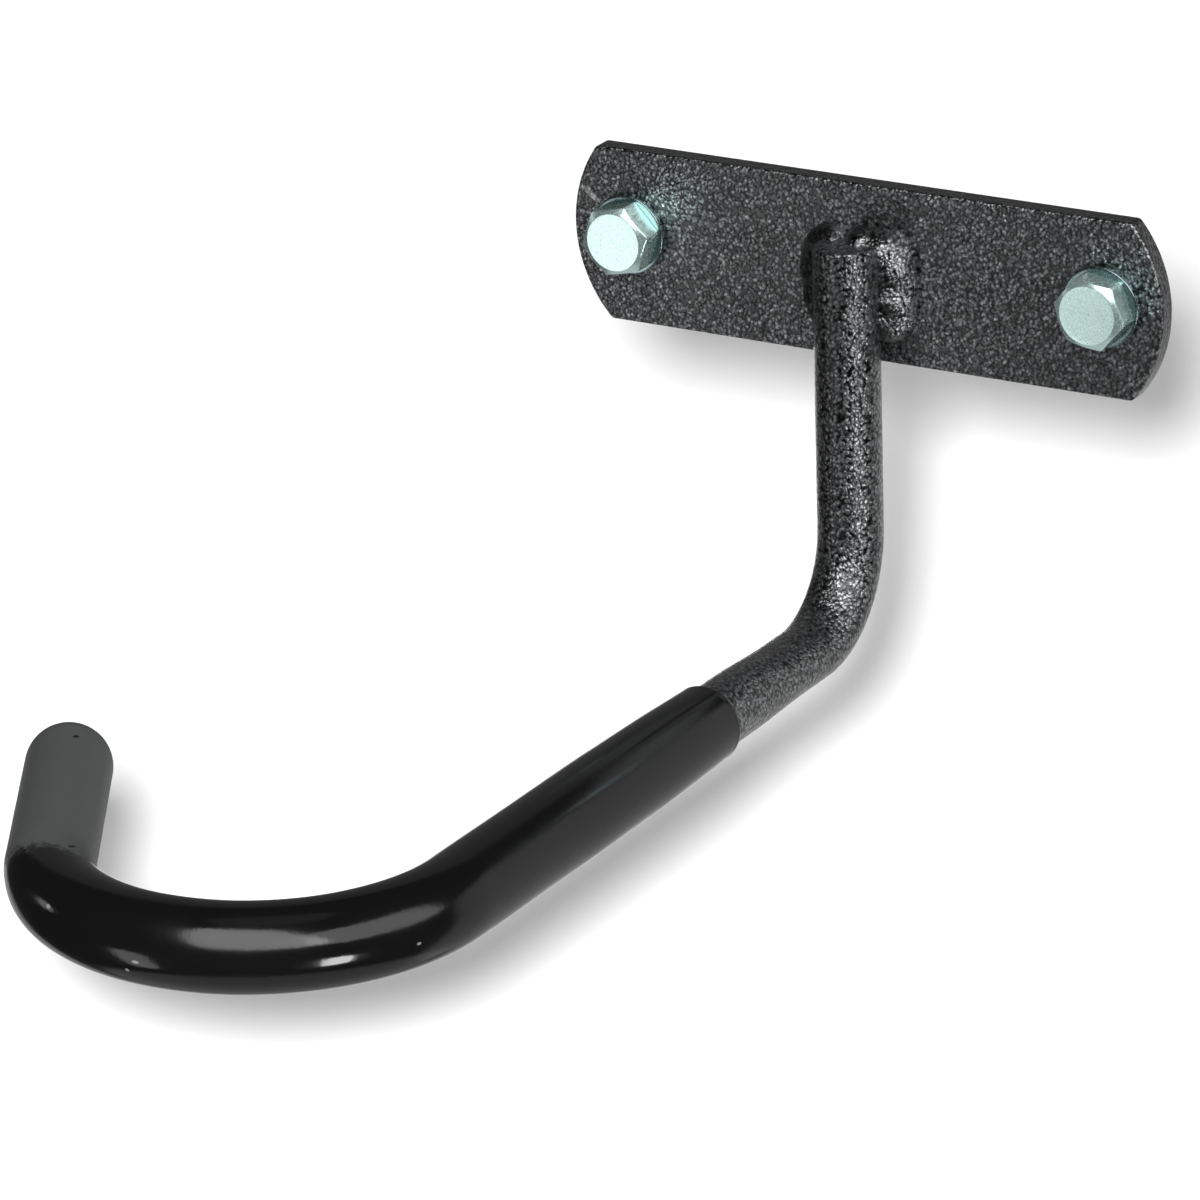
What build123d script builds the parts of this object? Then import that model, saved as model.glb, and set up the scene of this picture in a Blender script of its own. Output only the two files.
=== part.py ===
"""Wall hook for a bicycle: a flat steel mounting plate, a bent round bar welded
to its face, a soft vinyl grip sleeve on the bar, and two hex bolts with washers.

Millimetres, +Z up, +X to the right as the hook is seen from the room, +Y into
the wall. The origin is the middle of the plate's wall face, which lies in y = 0,
so everything but the bolt shanks stands on the room side, at negative y.
"""
import math
import os

from build123d import *

os.makedirs("parts", exist_ok=True)

# mounting plate: a length of flat bar, about 35 x 4, with curved ends; the left end
# was cut a little out of square and the bolt holes lie a little above the middle
plate_height = 35.4
plate_thickness = 4.0
plate_corner_span = 115.0
plate_end_sag = 6.5
left_end_skew = 1.2
plate_corner_radius = 1.6
plate_edge_radius = 0.5
bolt_corner_distance = 6.0
bolt_rise = 0.7

# M8 hex bolts and flat washers; the plain shank is rolled down to the thread's
# middle diameter, and the thread starts at the wall
bolt_diameter = 8.0
bolt_shank_diameter = 7.2
bolt_length = 16.0
head_sides = 6
head_across_flats = 13.0
head_height = 5.3
head_face_diameter = 12.0
head_chamfer_angle = 30.0
bolt_point_chamfer = 1.0
washer_outer_diameter = 16.0
washer_inner_diameter = 8.4
washer_thickness = 1.6
washer_edge = 0.25
plate_bore_diameter = 9.0
left_head_turn = 13.0
right_head_turn = -9.5

# round bar of the hook
rod_diameter = 13.0
rod_top_height = 7.3
rod_drop = 50.5
rod_bend_radius = 19.5
arm_length = 130.0
hook_bend_radius = 39.5
hook_bend_angle = 150.0
tip_length = 46.0
rod_end_chamfer = 0.5
# the first bend leaves the bar a little flatter in the plane of the bend
flat_wide = 13.7
flat_thin = 10.7
flat_run = 16.0
flat_fade = 13.0

# soft sleeve: thin at its open lip, full thickness further on, closed tip
sleeve_start = 58.0
sleeve_lip_diameter = 15.2
sleeve_diameter = 16.8
sleeve_taper_length = 52.0
sleeve_taper_knee = (0.45, 0.72)
sleeve_lip_radius = 0.8

# fillet weld round the upper end of the bar: two runs that meet in a notch over it
weld_half_width = 12.4
weld_shoulder = 2.2
weld_left_crest = (-7.2, 9.3)
weld_right_crest = (4.4, 10.2)
weld_notch = (-2.4, 6.9)
weld_bottom = -14.6
weld_throat = 5.4
weld_corner_radius = 7.5
weld_notch_radius = 0.8
weld_round = 4.6

# derived values
rod_radius = rod_diameter / 2
plate_front = -plate_thickness
rod_axis_y = plate_front - rod_radius
arm_z = -rod_drop - rod_bend_radius
arm_start_y = rod_axis_y - rod_bend_radius
arm_end_y = arm_start_y - arm_length
lip_y = rod_axis_y - sleeve_start
taper_end_y = lip_y - sleeve_taper_length
plate_half_length = plate_corner_span / 2 + plate_end_sag
bend_angle = math.radians(hook_bend_angle)
hook_centre_x = -hook_bend_radius
tip_start = (
    -hook_bend_radius * (1 - math.cos(bend_angle)),
    arm_end_y - hook_bend_radius * math.sin(bend_angle),
)
tip_direction = (-math.sin(bend_angle), -math.cos(bend_angle))
tip_end = (
    tip_start[0] + tip_direction[0] * tip_length,
    tip_start[1] + tip_direction[1] * tip_length,
)
bolt_spacing = plate_corner_span - 2 * bolt_corner_distance
bolt_places = [-bolt_spacing / 2, bolt_spacing / 2]
left_end_lean = math.atan2(left_end_skew, plate_height / 2)

# planes used more than once
wall_plane = Plane(origin=(0, 0, 0), x_dir=(1, 0, 0), z_dir=(0, -1, 0))
face_plane = Plane(origin=(0, plate_front, 0), x_dir=(1, 0, 0), z_dir=(0, -1, 0))


def across(y):
    """Plane square to the arm at the given y, its local x along the row axis."""
    return Plane(origin=(0, y, arm_z), x_dir=(1, 0, 0), z_dir=(0, -1, 0))


# mounting plate
with BuildPart() as mounting_plate:
    with BuildSketch(wall_plane):
        with BuildLine():
            half = plate_height / 2
            corner = plate_corner_span / 2
            Line((-corner - left_end_skew, half), (corner, half))
            ThreePointArc((corner, half), (plate_half_length, 0), (corner, -half))
            Line((corner, -half), (-corner + left_end_skew, -half))
            ThreePointArc(
                (-corner + left_end_skew, -half),
                (
                    -corner - plate_end_sag * math.cos(left_end_lean),
                    -plate_end_sag * math.sin(left_end_lean),
                ),
                (-corner - left_end_skew, half),
            )
        make_face()
        fillet(vertices(), radius=plate_corner_radius)
        with Locations(*[(x, bolt_rise) for x in bolt_places]):
            Circle(plate_bore_diameter / 2, mode=Mode.SUBTRACT)
    extrude(amount=plate_thickness)
    face_edges = mounting_plate.faces().sort_by(Axis.Y)[0].outer_wire().edges()
    fillet(face_edges, radius=plate_edge_radius)
mounting_plate.part.label = "mounting_plate"
export_step(mounting_plate.part, "parts/mounting_plate.step")

# hook rod: upright, first bend, arm, side bend, returning tip
upright_plane = Plane(origin=(0, rod_axis_y, -rod_drop), x_dir=(1, 0, 0), z_dir=(0, 0, 1))
with BuildPart() as hook_rod:
    # upright, its top end cut square and slightly eased
    with BuildSketch(upright_plane):
        Circle(rod_radius)
    extrude(amount=rod_drop + rod_top_height)
    top_rim = hook_rod.faces().sort_by(Axis.Z)[-1].edges()
    chamfer(top_rim, length=rod_end_chamfer)
    # first bend, round where it starts and flattened where it ends
    with BuildLine() as first_bend:
        middle = math.radians(45)
        ThreePointArc(
            (0, rod_axis_y, -rod_drop),
            (
                0,
                arm_start_y + rod_bend_radius * math.cos(middle),
                -rod_drop - rod_bend_radius * math.sin(middle),
            ),
            (0, arm_start_y, arm_z),
        )
    start_plane = Plane(origin=(0, rod_axis_y, -rod_drop), x_dir=(1, 0, 0), z_dir=(0, 0, -1))
    with BuildSketch(start_plane):
        Circle(rod_radius)
    with BuildSketch(across(arm_start_y)):
        Ellipse(flat_wide / 2, flat_thin / 2)
    sweep(path=first_bend.line, multisection=True)
    # beyond the bend the bar fades back to round
    flat_end_y = arm_start_y - flat_run - flat_fade
    for step in range(7):
        along = (flat_run + flat_fade) * step / 6
        fade = min(max((along - flat_run / 2) / (flat_run / 2 + flat_fade), 0), 1)
        share = (1 + math.cos(math.pi * fade)) / 2
        wide = rod_radius + (flat_wide / 2 - rod_radius) * share
        thin = rod_radius - (rod_radius - flat_thin / 2) * share
        with BuildSketch(across(arm_start_y - along)):
            Ellipse(wide, thin)
    loft()
    # round arm, side bend towards -X and the tip that comes back to the wall
    with BuildLine() as arm_path:
        Line((0, flat_end_y, arm_z), (0, arm_end_y, arm_z))
        ThreePointArc(
            (0, arm_end_y, arm_z),
            (
                hook_centre_x + hook_bend_radius * math.cos(bend_angle / 2),
                arm_end_y - hook_bend_radius * math.sin(bend_angle / 2),
                arm_z,
            ),
            (*tip_start, arm_z),
        )
        Line((*tip_start, arm_z), (*tip_end, arm_z))
    with BuildSketch(across(flat_end_y)):
        Circle(rod_radius)
    sweep(path=arm_path.line)
hook_rod.part.label = "hook_rod"
export_step(hook_rod.part, "parts/hook_rod.step")

# grip sleeve: tapered length on the arm, then even wall round the bend to the tip
sleeve_axis_plane = Plane(origin=(0, lip_y, arm_z), x_dir=(0, -1, 0), z_dir=(1, 0, 0))
with BuildPart() as grip_sleeve:
    with BuildSketch(sleeve_axis_plane) as taper_profile:
        with BuildLine():
            lip = sleeve_lip_diameter / 2
            full = sleeve_diameter / 2
            Line((0, 0), (0, lip))
            Spline(
                (0, lip),
                (
                    sleeve_taper_length * sleeve_taper_knee[0],
                    lip + (full - lip) * sleeve_taper_knee[1],
                ),
                (sleeve_taper_length, full),
                tangents=[(1, 0.04), (1, 0)],
            )
            Line((sleeve_taper_length, full), (sleeve_taper_length, 0))
            Line((sleeve_taper_length, 0), (0, 0))
        make_face()
        rim = taper_profile.vertices().group_by(Axis.X)[0].sort_by(Axis.Y)[-1]
        fillet(rim, radius=sleeve_lip_radius)
    revolve(axis=Axis((0, 0, arm_z), (0, -1, 0)))
    with BuildLine() as sleeve_path:
        Line((0, taper_end_y, arm_z), (0, arm_end_y, arm_z))
        ThreePointArc(
            (0, arm_end_y, arm_z),
            (
                hook_centre_x + hook_bend_radius * math.cos(bend_angle / 2),
                arm_end_y - hook_bend_radius * math.sin(bend_angle / 2),
                arm_z,
            ),
            (*tip_start, arm_z),
        )
        Line((*tip_start, arm_z), (*tip_end, arm_z))
    with BuildSketch(across(taper_end_y)):
        Circle(sleeve_diameter / 2)
    sweep(path=sleeve_path.line)
    with Locations((*tip_end, arm_z)):
        Sphere(sleeve_diameter / 2)
    add(hook_rod.part, mode=Mode.SUBTRACT)
grip_sleeve.part.label = "grip_sleeve"
export_step(grip_sleeve.part, "parts/grip_sleeve.step")

# weld bead: a rounded fillet over the plate and both sides of the bar's end
with BuildPart() as weld_bead:
    with BuildSketch(face_plane) as weld_outline:
        left_shoulder = (-weld_half_width, weld_shoulder)
        right_shoulder = (weld_half_width, weld_shoulder)
        with BuildLine():
            Line((-weld_half_width, weld_bottom), (weld_half_width, weld_bottom))
            Line((weld_half_width, weld_bottom), right_shoulder)
            ThreePointArc(right_shoulder, weld_right_crest, weld_notch)
            ThreePointArc(weld_notch, weld_left_crest, left_shoulder)
            Line(left_shoulder, (-weld_half_width, weld_bottom))
        make_face()
        toes = weld_outline.vertices().group_by(Axis.Y)[0]
        notch = weld_outline.vertices().sort_by(Axis.Y)[-1]
        fillet(toes, radius=weld_corner_radius)
        fillet(notch, radius=weld_notch_radius)
    extrude(amount=weld_throat)
    crown = weld_bead.faces().sort_by(Axis.Y)[0].edges()
    fillet(crown, radius=weld_round)
    add(hook_rod.part, mode=Mode.SUBTRACT)
weld_bead.part.label = "weld_bead"
export_step(weld_bead.part, "parts/weld_bead.step")

# washers, one under each head
for side, place in zip(["left", "right"], bolt_places):
    with BuildPart() as washer:
        with BuildSketch(face_plane):
            with Locations((place, bolt_rise)):
                Circle(washer_outer_diameter / 2)
                Circle(washer_inner_diameter / 2, mode=Mode.SUBTRACT)
        extrude(amount=washer_thickness)
        rims = washer.edges().filter_by(GeomType.CIRCLE).sort_by(SortBy.RADIUS)[-2:]
        chamfer(rims, length=washer_edge)
    washer.part.label = f"washer_{side}"
    export_step(washer.part, f"parts/washer_{side}.step")

# bolts: hexagonal head with a round chamfered face, thin plain shank through the
# washer and the plate, full thread diameter from the wall face on
seat_y = plate_front - washer_thickness
head_corner_radius = head_across_flats / 2 / math.cos(math.pi / head_sides)
chamfer_drop = math.tan(math.radians(head_chamfer_angle))
for side, place, turn in zip(["left", "right"], bolt_places, [left_head_turn, right_head_turn]):
    seat = (place, seat_y, bolt_rise)
    seat_plane = Plane(origin=seat, x_dir=(1, 0, 0), z_dir=(0, -1, 0))
    profile_plane = Plane(origin=seat, x_dir=(1, 0, 0), z_dir=(0, 0, -1))
    shank_plane = Plane(origin=seat, x_dir=(1, 0, 0), z_dir=(0, 1, 0))
    with BuildPart() as bolt:
        with BuildSketch(seat_plane):
            RegularPolygon(head_corner_radius, head_sides, rotation=turn)
        extrude(amount=head_height)
        with BuildSketch(profile_plane):
            with BuildLine():
                face = head_face_diameter / 2
                reach = head_across_flats
                edge = head_height - (reach - face) * chamfer_drop
                Polyline(
                    (0, 0),
                    (reach, 0),
                    (reach, edge),
                    (face, head_height),
                    (0, head_height),
                    close=True,
                )
            make_face()
        revolve(axis=Axis(seat, (0, 1, 0)), mode=Mode.INTERSECT)
        with BuildSketch(shank_plane):
            Circle(bolt_shank_diameter / 2)
        extrude(amount=-seat_y)
        with BuildSketch(shank_plane.offset(-seat_y)):
            Circle(bolt_diameter / 2)
        extrude(amount=bolt_length + seat_y)
        point = bolt.faces().sort_by(Axis.Y)[-1].edges()
        chamfer(point, length=bolt_point_chamfer)
    bolt.part.label = f"bolt_{side}"
    export_step(bolt.part, f"parts/bolt_{side}.step")
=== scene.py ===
"""Looks of a wall hook for a bicycle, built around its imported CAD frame.

The plate and the bent bar keep their CAD shape and get a hammertone powder coat.
The grip sleeve, the weld, the bolts and the washers are surfaces worked out with
numpy that stand for their CAD nodes. Lengths are metres in the CAD frame: +X to
the right as seen from the room, +Y into the wall, +Z up.
"""
import math
from collections import namedtuple

import bmesh
import bpy
import numpy as np
from mathutils import Matrix, Vector


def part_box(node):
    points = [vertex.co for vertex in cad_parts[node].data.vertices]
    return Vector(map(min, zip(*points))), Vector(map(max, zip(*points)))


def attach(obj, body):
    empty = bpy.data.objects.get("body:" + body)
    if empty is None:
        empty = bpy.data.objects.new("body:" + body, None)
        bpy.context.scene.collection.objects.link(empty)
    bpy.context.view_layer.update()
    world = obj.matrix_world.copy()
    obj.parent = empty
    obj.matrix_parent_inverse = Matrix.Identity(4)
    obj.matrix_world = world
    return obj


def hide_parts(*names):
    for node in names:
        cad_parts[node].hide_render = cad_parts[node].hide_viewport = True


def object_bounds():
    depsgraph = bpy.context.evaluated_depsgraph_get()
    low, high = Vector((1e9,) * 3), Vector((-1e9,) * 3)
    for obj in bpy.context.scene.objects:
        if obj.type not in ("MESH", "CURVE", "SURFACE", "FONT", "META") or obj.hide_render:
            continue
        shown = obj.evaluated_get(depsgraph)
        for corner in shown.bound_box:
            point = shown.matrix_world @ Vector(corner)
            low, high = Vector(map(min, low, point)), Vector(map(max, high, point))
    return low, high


bl_info = {
    "name": "Bicycle wall hook looks",
    "version": (1, 0, 0),
    "blender": (4, 5, 0),
    "location": "3D View > Sidebar > Wall hook",
    "description": "Dresses the packed wall hook: coat, vinyl sleeve, weld, zinc fasteners and studio",
    "category": "Object",
}

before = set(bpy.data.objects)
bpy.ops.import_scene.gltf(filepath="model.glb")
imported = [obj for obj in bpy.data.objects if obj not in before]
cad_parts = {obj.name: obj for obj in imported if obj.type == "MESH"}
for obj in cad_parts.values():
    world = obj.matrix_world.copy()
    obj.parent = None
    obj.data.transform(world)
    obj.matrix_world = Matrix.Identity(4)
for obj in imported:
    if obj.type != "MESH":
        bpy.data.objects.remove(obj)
CAD_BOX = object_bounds()
MM = 0.001
BODY = "root"
# points of a new mesh that lie closer together than this are one
MERGE_DISTANCE = 0.0005 * MM

SLEEVE_LOW, SLEEVE_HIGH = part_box("grip_sleeve")
WASHER_LOW, WASHER_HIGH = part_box("washer_left")
BOLT_LOW, BOLT_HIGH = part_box("bolt_left")
WELD_LOW, WELD_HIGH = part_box("weld_bead")

PLATE_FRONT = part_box("mounting_plate")[0].y
ARM_HEIGHT = (SLEEVE_LOW.z + SLEEVE_HIGH.z) / 2
BOLT_X = (WASHER_LOW.x + WASHER_HIGH.x) / 2
BOLT_Z = (WASHER_LOW.z + WASHER_HIGH.z) / 2
HEAD_TOP_Y = BOLT_LOW.y
THREAD_END_Y = BOLT_HIGH.y

# A soft-edged bright patch of the studio's surroundings. Angles are degrees: azimuth 0 in
# front of the plate and 90 to its right; lean is how far a degree of height shifts it to
# the left. Radiance 1 is the white of the paper.
Patch = namedtuple("Patch", "azimuth elevation half_width half_height lean softness radiance")
SURROUNDINGS = (
    # large softbox in front, and its dimmer part on the right
    Patch(20, 42, 32, 25, 0.5, 0.3, 3.6),
    Patch(82, 32, 34, 17, 0.0, 0.35, 1.9),
    # bare lamp low on the right
    Patch(62, -27, 7, 9, 0.0, 0.25, 13.0),
    # tall reflector low on the left
    Patch(-30, -27, 9, 15, 0.0, 0.3, 1.6),
    # pale walls behind the hook, the left one with brighter patches
    Patch(150, -15, 32, 42, 0.0, 0.3, 0.45),
    Patch(-150, 2, 32, 40, 0.0, 0.3, 0.1),
    Patch(-150, -32, 40, 18, 0.0, 0.3, 0.4),
    Patch(-140, -17, 8, 8, 0.0, 0.3, 0.9),
    # small window on the left, pale table below and ceiling above
    Patch(-78, 8, 6, 4, 0.0, 0.4, 1.4),
    Patch(0, -75, 400, 22, 0.0, 0.4, 0.35),
    Patch(0, 88, 400, 12, 0.0, 0.5, 0.15),
)
# radiance of everything between the patches
GLOOM = 0.035

# A small spot on the surface, for blemishes and for painted highlights: centre and half
# sizes in millimetres, turn in degrees
Spot = namedtuple("Spot", "centre half_size turn")
PLATE_SCRATCHES = (Spot((-60.4, -4.0, 7.6), (3.4, 0.5, 0.7), (0, 35.5, 0)),)
# painted highlight on the weld's top where its two runs meet, in the scratch colour
WELD_NOTCH_HIGHLIGHT = (Spot((-2.2, -7.6, 9.3), (1.2, 1.8, 0.8), (0, 30, 0)),)
# painted highlights: pale spots where bright glints fall on the bend
SLEEVE_GLINTS = (
    Spot((-58.0, -203.1, -66.1), (0.7, 1.2, 0.4), (0, 0, 0)),
    Spot((-36.7, -207.8, -70.8), (0.9, 1.2, 0.35), (0, 0, 0)),
    Spot((-38.8, -207.4, -72.9), (0.5, 1.2, 0.4), (0, 0, 0)),
    Spot((4.3, -179.4, -70.5), (0.3, 0.9, 0.35), (0, 0, 0)),
)
SLEEVE_PITS = (
    Spot((-92.4, -143.1, -61.9), (0.6, 0.9, 1.2), (0, 0, 0)),
    Spot((-64.5, -185.6, -62.5), (0.5, 1.6, 1.2), (0, 0, 0)),
)

# Painted shade by facing, a darker tone on faces that turn from the light: the axis of a
# face's normal, whether both of its ends count, the range over which the full tone comes
# back and the share of it that is left below
Fade = namedtuple("Fade", "axis both_ways low high share")
# painted shade on the plate's edges, which face neither front nor back
PLATE_EDGE_SHADE = Fade("Y", True, 0.3, 0.9, 0.2)
# painted shade on the weld's left run and top
WELD_LEFT_SHADE = Fade("X", False, 0.1, 0.5, 0.22)

# sockets of a colour Mix node, which shares its names with its other kinds
MIX_FACTOR, MIX_A, MIX_B, MIX_RESULT = 0, 6, 7, 2


def linear(hex_colour):
    """sRGB hex such as "#2b2d2f" to linear red, green and blue."""
    parts = [int(hex_colour[i : i + 2], 16) / 255 for i in (1, 3, 5)]
    return tuple(c / 12.92 if c <= 0.04045 else ((c + 0.055) / 1.055) ** 2.4 for c in parts)


def add_node(tree, kind, inputs=None, **settings):
    """Adds one node. Settings are its own attributes; inputs are its sockets by name
    or number, each with a value or with another node's output to link."""
    node = tree.nodes.new(kind)
    for name, value in settings.items():
        setattr(node, name, value)
    for key, value in (inputs or {}).items():
        if isinstance(value, bpy.types.NodeSocket):
            tree.links.new(value, node.inputs[key])
        else:
            node.inputs[key].default_value = value
    return node


def new_material(name, **constants):
    """A material with one Principled surface, its constants on their own sockets."""
    material = bpy.data.materials.new(name)
    material.use_nodes = True
    tree = material.node_tree
    tree.nodes.clear()
    surface = add_node(tree, "ShaderNodeBsdfPrincipled", constants)
    add_node(tree, "ShaderNodeOutputMaterial", {"Surface": surface.outputs["BSDF"]})
    return material, tree, surface


class HookCoatSettings(bpy.types.PropertyGroup):
    """Hammertone powder coat of plate, bar and weld"""

    base: bpy.props.FloatVectorProperty(
        name="Coat colour",
        description="Charcoal resin between the flakes",
        subtype="COLOR",
        size=3,
        min=0,
        max=1,
        default=linear("#1e1f21"),
    )
    fleck: bpy.props.FloatVectorProperty(
        name="Flake colour",
        description="Light grey where aluminium flake has pooled",
        subtype="COLOR",
        size=3,
        min=0,
        max=1,
        default=linear("#c8cbcd"),
    )
    # also the light grey of the painted highlight on the weld
    scratch_and_glint: bpy.props.FloatVectorProperty(
        name="Scratch colour",
        description="Light grey of a rubbed place",
        subtype="COLOR",
        size=3,
        min=0,
        max=1,
        default=linear("#c9cccd"),
    )
    cell: bpy.props.FloatProperty(
        name="Hammer mark",
        description="Distance from one mark of the hammertone pattern to the next",
        subtype="DISTANCE",
        unit="LENGTH",
        precision=5,
        default=0.75 * MM,
    )
    relief: bpy.props.FloatProperty(
        name="Relief",
        description="Depth of the hammer marks",
        subtype="DISTANCE",
        unit="LENGTH",
        precision=5,
        default=0.12 * MM,
    )


class HookSleeveSettings(bpy.types.PropertyGroup):
    """Soft vinyl sleeve on the arm and the hook"""

    colour: bpy.props.FloatVectorProperty(
        name="Vinyl colour",
        description="Black soft vinyl",
        subtype="COLOR",
        size=3,
        min=0,
        max=1,
        default=linear("#040404"),
    )
    film: bpy.props.FloatVectorProperty(
        name="Film colour",
        description="Grey film of dust on the tip",
        subtype="COLOR",
        size=3,
        min=0,
        max=1,
        default=linear("#323433"),
    )
    # pale grey of the painted highlights on the bend
    dust: bpy.props.FloatVectorProperty(
        name="Dust colour",
        description="Pale specks of dust on the vinyl",
        subtype="COLOR",
        size=3,
        min=0,
        max=1,
        default=linear("#464849"),
    )
    bend_radius: bpy.props.FloatProperty(
        name="Bend radius",
        description="Radius of the side bend at the middle of the bar",
        subtype="DISTANCE",
        unit="LENGTH",
        precision=4,
        default=39.5 * MM,
    )
    bend_angle: bpy.props.FloatProperty(
        name="Bend angle",
        description="How far the bar turns in the side bend",
        subtype="ANGLE",
        unit="ROTATION",
        default=math.radians(150),
    )
    tip_length: bpy.props.FloatProperty(
        name="Tip length",
        description="Straight length after the bend, up to the centre of the round end",
        subtype="DISTANCE",
        unit="LENGTH",
        precision=4,
        default=46 * MM,
    )
    bar_radius: bpy.props.FloatProperty(
        name="Bar radius",
        description="Radius of the bar inside the sleeve",
        subtype="DISTANCE",
        unit="LENGTH",
        precision=5,
        default=6.5 * MM,
    )
    lip_radius: bpy.props.FloatProperty(
        name="Lip radius",
        description="Outer radius of the sleeve at its open lip",
        subtype="DISTANCE",
        unit="LENGTH",
        precision=5,
        default=7.6 * MM,
    )
    taper: bpy.props.FloatProperty(
        name="Taper length",
        description="Length over which the sleeve reaches its full thickness",
        subtype="DISTANCE",
        unit="LENGTH",
        precision=4,
        default=52 * MM,
    )
    unevenness: bpy.props.FloatProperty(
        name="Unevenness",
        description="How far the dipped surface strays from a true tube",
        subtype="DISTANCE",
        unit="LENGTH",
        precision=5,
        default=0.05 * MM,
    )


class HookWeldSettings(bpy.types.PropertyGroup):
    """Weld bead round the bar's upper end"""

    ripple: bpy.props.FloatProperty(
        name="Ripple pitch",
        description="Distance from one frozen ripple of the bead to the next",
        subtype="DISTANCE",
        unit="LENGTH",
        precision=5,
        default=2.2 * MM,
    )
    ripple_depth: bpy.props.FloatProperty(
        name="Ripple depth",
        description="Height of the ripples",
        subtype="DISTANCE",
        unit="LENGTH",
        precision=5,
        default=0.03 * MM,
    )
    lump: bpy.props.FloatProperty(
        name="Lump pitch",
        description="Distance between the lumps where the welder paused",
        subtype="DISTANCE",
        unit="LENGTH",
        precision=5,
        default=5.6 * MM,
    )
    lump_height: bpy.props.FloatProperty(
        name="Lump height",
        description="Height of the lumps",
        subtype="DISTANCE",
        unit="LENGTH",
        precision=5,
        default=0.3 * MM,
    )
    notch: bpy.props.FloatProperty(
        name="Notch",
        description="How far the bead sinks where its two runs meet above the bar",
        subtype="DISTANCE",
        unit="LENGTH",
        precision=5,
        default=3.2 * MM,
    )


class HookFastenerSettings(bpy.types.PropertyGroup):
    """Zinc plated hex bolts and washers"""

    zinc: bpy.props.FloatVectorProperty(
        name="Zinc colour",
        description="Bright zinc with a blue-green passivation",
        subtype="COLOR",
        size=3,
        min=0,
        max=1,
        default=linear("#daf6f0"),
    )
    # darker copy of the bolts' zinc: painted shade on the washers, which lie round the heads and
    # mirror their dark sides
    washer_shade_zinc: bpy.props.FloatVectorProperty(
        name="Washer colour",
        description="Duller, thicker passivated zinc of the washers",
        subtype="COLOR",
        size=3,
        min=0,
        max=1,
        default=linear("#9bb2b3"),
    )
    across_flats: bpy.props.FloatProperty(
        name="Across flats",
        description="Width of the hexagon",
        subtype="DISTANCE",
        unit="LENGTH",
        precision=5,
        default=13 * MM,
    )
    face: bpy.props.FloatProperty(
        name="Face diameter",
        description="Diameter of the round face inside the chamfer",
        subtype="DISTANCE",
        unit="LENGTH",
        precision=5,
        default=11.7 * MM,
    )
    shank: bpy.props.FloatProperty(
        name="Shank diameter",
        description="Plain shank between the head and the wall",
        subtype="DISTANCE",
        unit="LENGTH",
        precision=5,
        default=7.2 * MM,
    )
    thread: bpy.props.FloatProperty(
        name="Thread diameter",
        description="Outer diameter of the thread",
        subtype="DISTANCE",
        unit="LENGTH",
        precision=5,
        default=8 * MM,
    )
    pitch: bpy.props.FloatProperty(
        name="Thread pitch",
        description="Distance from one thread crest to the next",
        subtype="DISTANCE",
        unit="LENGTH",
        precision=5,
        default=1.25 * MM,
    )
    left_turn: bpy.props.FloatProperty(
        name="Left head turn",
        description="How far the left hexagon is turned",
        subtype="ANGLE",
        unit="ROTATION",
        default=math.radians(13),
    )
    right_turn: bpy.props.FloatProperty(
        name="Right head turn",
        description="How far the right hexagon is turned",
        subtype="ANGLE",
        unit="ROTATION",
        default=math.radians(-9.5),
    )


class HookStageSettings(bpy.types.PropertyGroup):
    """Floor, light and camera"""

    floor: bpy.props.FloatVectorProperty(
        name="Floor colour",
        description="Pale paper",
        subtype="COLOR",
        size=3,
        min=0,
        max=1,
        default=linear("#cfcfcf"),
    )
    floor_drop: bpy.props.FloatProperty(
        name="Floor drop",
        description="Distance from the hook's lowest point down to the floor",
        subtype="DISTANCE",
        unit="LENGTH",
        default=0.2,
    )
    key_strength: bpy.props.FloatProperty(
        name="Key light",
        description="Strength of the light that draws the shadow",
        unit="POWER",
        default=148.0,
    )
    key_radius: bpy.props.FloatProperty(
        name="Key radius",
        description="Size of the key light, which sets how soft the shadow is",
        subtype="DISTANCE",
        unit="LENGTH",
        default=0.028,
    )
    key_left: bpy.props.FloatProperty(
        name="Key to the left",
        description="How far the key light stands to the left of the lens",
        subtype="DISTANCE",
        unit="LENGTH",
        default=0.025,
    )
    key_above: bpy.props.FloatProperty(
        name="Key above",
        description="How far the key light stands above the lens",
        subtype="DISTANCE",
        unit="LENGTH",
        default=0.027,
    )
    azimuth: bpy.props.FloatProperty(
        name="Camera azimuth",
        description="Camera's turn to the right of straight ahead",
        subtype="ANGLE",
        unit="ROTATION",
        default=math.radians(30.7823),
    )
    elevation: bpy.props.FloatProperty(
        name="Camera elevation",
        description="Camera's height above the horizon",
        subtype="ANGLE",
        unit="ROTATION",
        default=math.radians(21.1746),
    )
    roll: bpy.props.FloatProperty(
        name="Camera roll",
        description="Turn of the camera about its own view line",
        subtype="ANGLE",
        unit="ROTATION",
        default=math.radians(-1.7727),
    )
    distance: bpy.props.FloatProperty(
        name="Camera distance",
        description="Depth of the plate's middle in front of the camera",
        subtype="DISTANCE",
        unit="LENGTH",
        default=1.3521,
    )


class HookLookSettings(bpy.types.PropertyGroup):
    """All settings of the wall hook's looks"""

    coat: bpy.props.PointerProperty(type=HookCoatSettings, name="Coat", description="Powder coat")
    sleeve: bpy.props.PointerProperty(
        type=HookSleeveSettings, name="Sleeve", description="Grip sleeve"
    )
    weld: bpy.props.PointerProperty(type=HookWeldSettings, name="Weld", description="Weld bead")
    fastener: bpy.props.PointerProperty(
        type=HookFastenerSettings, name="Fasteners", description="Bolts and washers"
    )
    stage: bpy.props.PointerProperty(type=HookStageSettings, name="Stage", description="Studio")


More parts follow.
